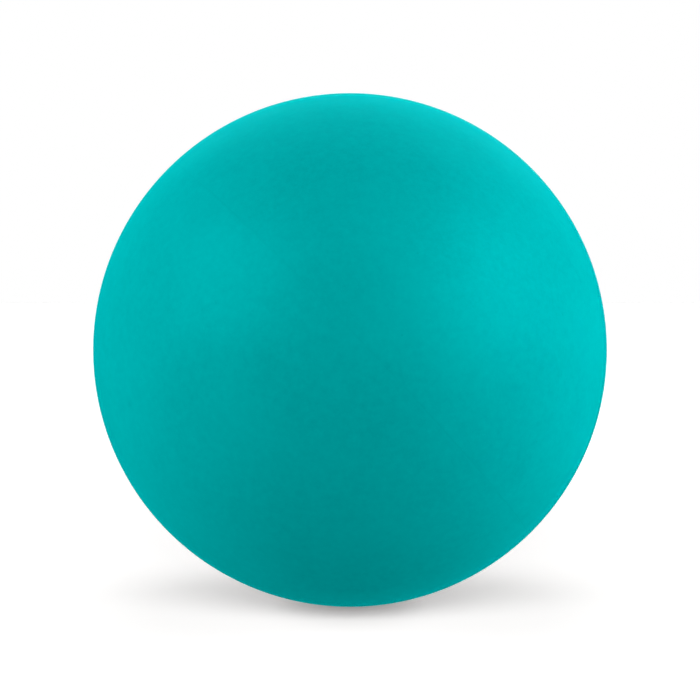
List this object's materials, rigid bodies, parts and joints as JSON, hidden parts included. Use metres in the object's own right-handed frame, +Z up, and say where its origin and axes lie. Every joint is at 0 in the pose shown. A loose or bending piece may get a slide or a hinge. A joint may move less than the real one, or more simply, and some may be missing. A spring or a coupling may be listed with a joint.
{
  "type": "croquet ball",
  "caption": "Smooth satin teal croquet ball of composite make: cork-and-rubber core in a bonded plastic cover.",
  "frame": {"origin": "centre of the ball", "axes": "+Z up as the ball lies; the joint plane through the centre leans, its normal 47.4 degrees from +Z, towards a heading 10.4 degrees round from +X to +Y"},
  "size_m": [0.092, 0.092, 0.092],
  "materials": {
    "cover_plastic": "satin",
    "core_composite": "matte"
  },
  "bodies": {
    "root": {"core": "core_composite", "upper_cover": "cover_plastic", "lower_cover": "cover_plastic"}
  },
  "joints": []
}
